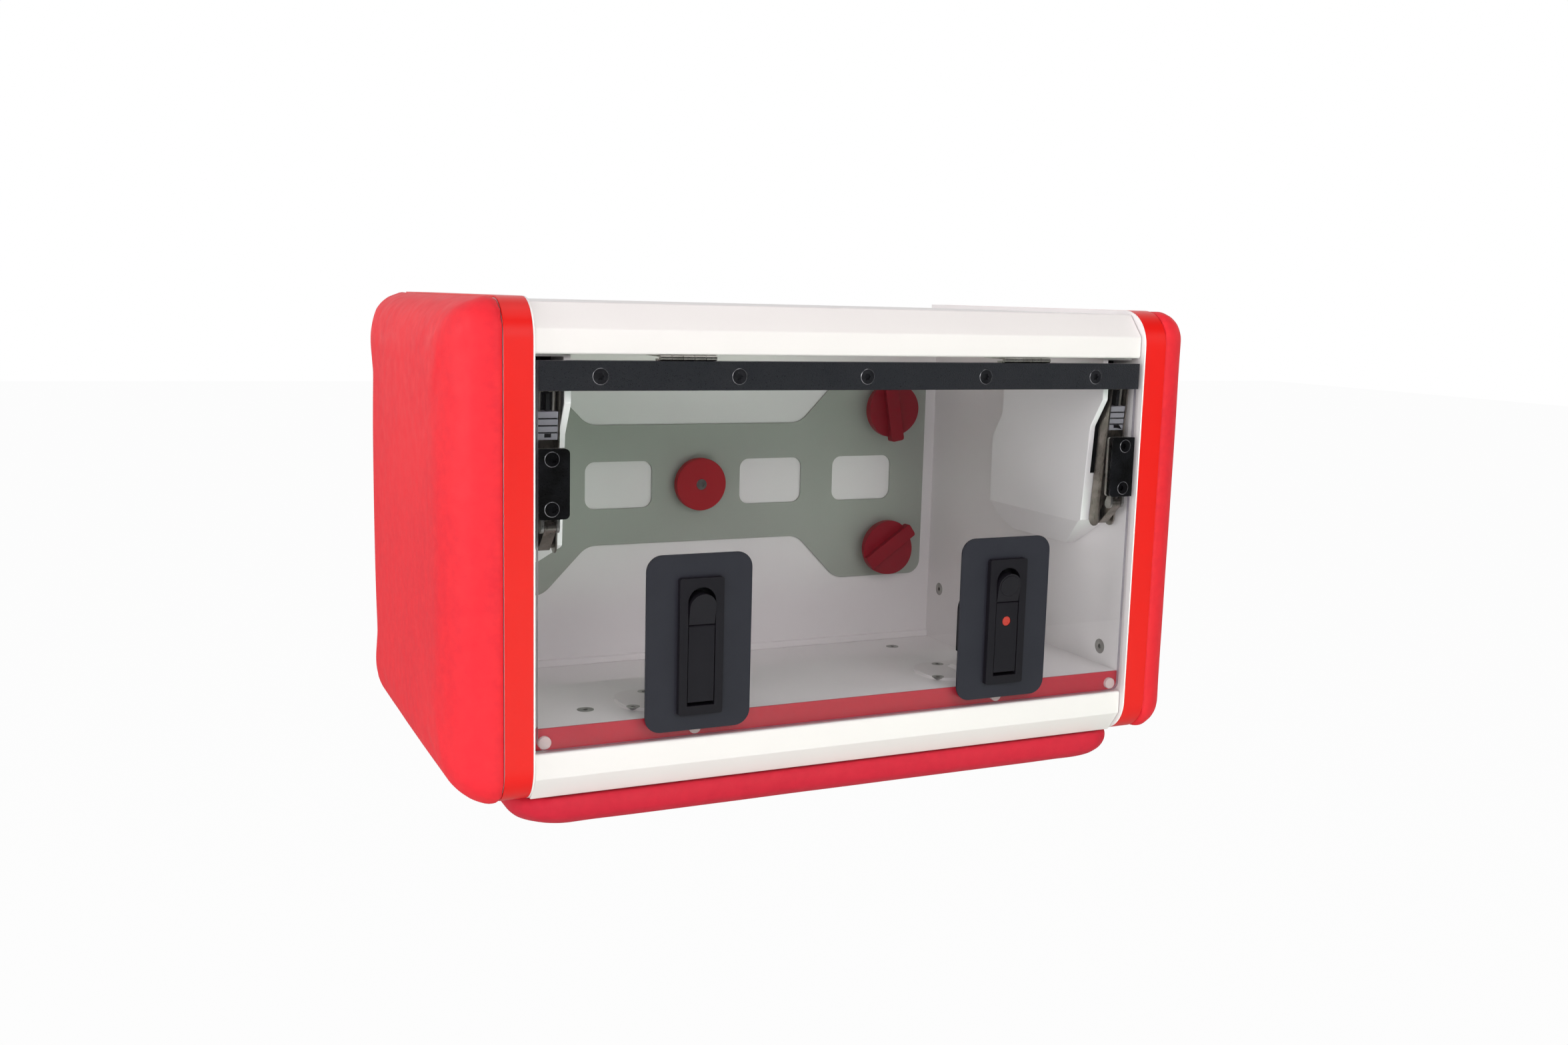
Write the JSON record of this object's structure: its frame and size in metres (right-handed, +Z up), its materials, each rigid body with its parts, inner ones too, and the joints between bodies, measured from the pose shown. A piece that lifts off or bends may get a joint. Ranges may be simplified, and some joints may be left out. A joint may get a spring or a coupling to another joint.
{
  "type": "padded wall cabinet",
  "caption": "Padded wall cabinet with a clear door that lifts up on hinges and lift arms, lift-and-turn latches, a sill, and a mounting plate with turn knobs inside.",
  "frame": {"origin": "middle of the rectangle of four wall inserts, in the plane of the back face", "axes": "+X to the right seen from the front, +Y from the door towards the wall, +Z up"},
  "size_m": [0.7306, 0.4092, 0.4483],
  "materials": {
    "white_board": "laminated board, satin white",
    "white_rail": "white powder coat on an aluminium section",
    "white_shell": "white moulded shell, fine grain",
    "pad_vinyl": "matt red coated cloth over foam",
    "band_edge": "glossy red edge band",
    "clear_sheet": "clear acrylic sheet",
    "black_strip": "black textured coating",
    "bare_steel": "zinc plated steel",
    "plate_blue": "dark slate plastic",
    "latch_black": "satin black plastic",
    "plate_grey": "grey painted sheet",
    "knob_red": "dark red plastic",
    "slider_grey": "light grey plastic",
    "indicator_red": "red enamel"
  },
  "bodies": {
    "cabinet": {"left_side_panel": "white_board", "right_side_panel": "white_board", "left_edge_band": "band_edge", "right_edge_band": "band_edge", "left_side_pad": "pad_vinyl", "right_side_pad": "pad_vinyl", "bottom_pad": "pad_vinyl", "top_front_rail": "white_rail", "bottom_front_rail": "white_rail", "roof_panel": "white_board", "floor_panel": "white_board", "back_panel": "white_board", "sill_board": "white_board", "sill_edging": "band_edge", "back_cove_strip": "white_board", "mounting_plate": "plate_grey", "center_disc": "knob_red", "disc_screw": "bare_steel", "left_lift_unit": "black_strip", "right_lift_unit": "black_strip", "left_lift_housing": "white_shell", "right_lift_housing": "white_shell", "hinge_fixed_leaves": "bare_steel", "hinge_pins": "bare_steel", "panel_screws": "bare_steel", "strike_plates": "white_rail", "strike_screws": "bare_steel", "back_inserts": "bare_steel", "lift_pivot_pins": "bare_steel"},
    "door": {"door_panel": "clear_sheet", "door_strip": "black_strip", "door_back_strip": "black_strip", "strip_screws": "bare_steel", "hinge_moving_leaves": "bare_steel", "bracket_plates": "black_strip", "bracket_screws": "bare_steel", "bracket_clips": "bare_steel", "latch_plates": "plate_blue", "left_latch_body": "latch_black", "right_latch_body": "latch_black", "latch_gearboxes": "latch_black", "door_bumpers": "clear_sheet"},
    "left_arm": {"left_lift_arm": "bare_steel", "left_arm_slider": "slider_grey", "left_arm_springs": "bare_steel"},
    "right_arm": {"right_lift_arm": "bare_steel", "right_arm_slider": "slider_grey", "right_arm_springs": "bare_steel"},
    "left_link": {"left_lift_link": "bare_steel"},
    "right_link": {"right_lift_link": "bare_steel"},
    "left_handle": {"left_handle": "latch_black"},
    "right_handle": {"right_handle": "latch_black", "handle_indicator": "indicator_red"},
    "right_button": {"right_button": "latch_black"},
    "left_cam": {"left_cam": "latch_black"},
    "right_cam": {"right_cam": "latch_black"},
    "upper_left_knob": {"upper_left_knob": "knob_red"},
    "lower_left_knob": {"lower_left_knob": "knob_red"},
    "upper_right_knob": {"upper_right_knob": "knob_red"},
    "lower_right_knob": {"lower_right_knob": "knob_red"}
  },
  "joints": [
    {"name": "door_flap", "type": "hinge", "parent": "cabinet", "child": "door", "pos_m": [0, -0.396, 0.1605], "axis": [-1, 0, 0], "range_deg": [0, 90]},
    {"name": "left_arm_pivot", "type": "hinge", "parent": "cabinet", "child": "left_arm", "pos_m": [-0.281, -0.378, 0.143], "axis": [-1, 0, 0], "range_deg": [0, 90]},
    {"name": "left_link_pivot", "type": "hinge", "parent": "left_arm", "child": "left_link", "pos_m": [-0.281, -0.367, 0.0055], "axis": [-1, 0, 0], "range_deg": [-90, 0]},
    {"name": "right_arm_pivot", "type": "hinge", "parent": "cabinet", "child": "right_arm", "pos_m": [0.281, -0.378, 0.143], "axis": [-1, 0, 0], "range_deg": [0, 90]},
    {"name": "right_link_pivot", "type": "hinge", "parent": "right_arm", "child": "right_link", "pos_m": [0.281, -0.367, 0.0055], "axis": [-1, 0, 0], "range_deg": [-90, 0]},
    {"name": "left_handle_lift", "type": "hinge", "parent": "door", "child": "left_handle", "pos_m": [-0.153, -0.4017, -0.06555], "axis": [-1, 0, 0], "range_deg": [0, 40]},
    {"name": "left_cam_turn", "type": "hinge", "parent": "door", "child": "left_cam", "pos_m": [-0.153, -0.35, -0.08], "axis": [0, 1, 0], "range_deg": [0, 90]},
    {"name": "right_handle_lift", "type": "hinge", "parent": "door", "child": "right_handle", "pos_m": [0.153, -0.4017, -0.06555], "axis": [-1, 0, 0], "range_deg": [0, 40]},
    {"name": "right_cam_turn", "type": "hinge", "parent": "door", "child": "right_cam", "pos_m": [0.153, -0.35, -0.08], "axis": [0, 1, 0], "range_deg": [0, 90]},
    {"name": "button_press", "type": "slide", "parent": "door", "child": "right_button", "axis": [0, 1, 0], "range_m": [0, 0.0015], "stiffness_N_per_m": 500, "springref_m": -0.002},
    {"name": "lower_left_knob_turn", "type": "hinge", "parent": "cabinet", "child": "lower_left_knob", "pos_m": [-0.244, -0.025, -0.0755], "axis": [0, 1, 0], "range_deg": [0, 90]},
    {"name": "lower_right_knob_turn", "type": "hinge", "parent": "cabinet", "child": "lower_right_knob", "pos_m": [0.226, -0.025, -0.0755], "axis": [0, 1, 0], "range_deg": [0, 90]},
    {"name": "upper_left_knob_turn", "type": "hinge", "parent": "cabinet", "child": "upper_left_knob", "pos_m": [-0.244, -0.025, 0.0865], "axis": [0, 1, 0], "range_deg": [0, 90]},
    {"name": "upper_right_knob_turn", "type": "hinge", "parent": "cabinet", "child": "upper_right_knob", "pos_m": [0.226, -0.025, 0.0865], "axis": [0, 1, 0], "range_deg": [0, 90]}
  ],
  "couplings": [
    {"joint": "left_arm_pivot", "follows": "door_flap", "ratio": 1},
    {"joint": "left_link_pivot", "follows": "door_flap", "ratio": -1},
    {"joint": "left_cam_turn", "follows": "left_handle_lift", "ratio": 2.25},
    {"joint": "right_arm_pivot", "follows": "door_flap", "ratio": 1},
    {"joint": "right_link_pivot", "follows": "door_flap", "ratio": -1},
    {"joint": "right_cam_turn", "follows": "right_handle_lift", "ratio": 2.25}
  ]
}
